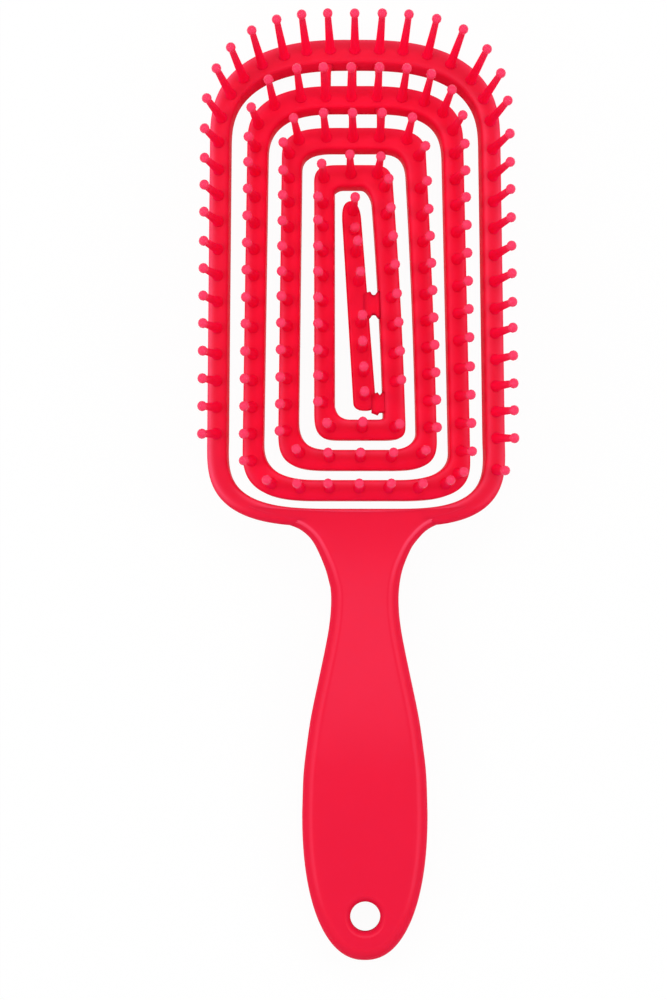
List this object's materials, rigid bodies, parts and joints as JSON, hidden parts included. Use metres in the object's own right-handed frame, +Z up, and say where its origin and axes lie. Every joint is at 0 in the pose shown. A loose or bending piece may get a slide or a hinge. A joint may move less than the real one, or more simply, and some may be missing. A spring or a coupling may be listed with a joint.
{
  "type": "vented hair brush",
  "caption": "Flexible vented hair brush: nested loops of ball-tipped pins in one moulding with a flat handle and a hang hole.",
  "frame": {"origin": "centre of the brush's box, on the surface that it lies on with its pins up", "axes": "+Y from the handle to the head, +Z up, the side with the pins, +X to the right seen from above"},
  "size_m": [0.086, 0.254, 0.0359],
  "materials": {
    "frame_plastic": "smooth moulded, softly glossy",
    "ring_plastic": "smooth moulded, softly glossy",
    "bar_plastic": "smooth moulded, softly glossy"
  },
  "bodies": {
    "frame": {"handle_frame": "frame_plastic", "frame_link_left": "ring_plastic", "frame_link_middle": "ring_plastic", "frame_link_right": "ring_plastic"},
    "second_ring": {"ring_2": "ring_plastic", "ring_link_left": "ring_plastic", "ring_link_middle": "ring_plastic", "ring_link_right": "ring_plastic"},
    "third_ring": {"ring_3": "ring_plastic", "inner_link": "ring_plastic"},
    "inner_ring": {"ring_4": "ring_plastic", "centre_bar": "bar_plastic", "bar_bridge_upper": "bar_plastic", "bar_bridge_lower": "bar_plastic"}
  },
  "joints": [
    {"name": "second_ring_flex", "type": "hinge", "parent": "frame", "child": "second_ring", "pos_m": [-0.0003, 0.10909, 0.0062], "axis": [1, 0, 0], "range_deg": [-2, 4], "stiffness_Nm_per_rad": 4},
    {"name": "third_ring_flex", "type": "hinge", "parent": "second_ring", "child": "third_ring", "pos_m": [-0.0003, 0.09742, 0.00919], "axis": [1, 0, 0], "range_deg": [-1, 3], "stiffness_Nm_per_rad": 2.5},
    {"name": "inner_ring_flex", "type": "hinge", "parent": "third_ring", "child": "inner_ring", "pos_m": [-0.0003, 0.0869, 0.0114], "axis": [1, 0, 0], "range_deg": [-1, 3], "stiffness_Nm_per_rad": 1.2}
  ]
}
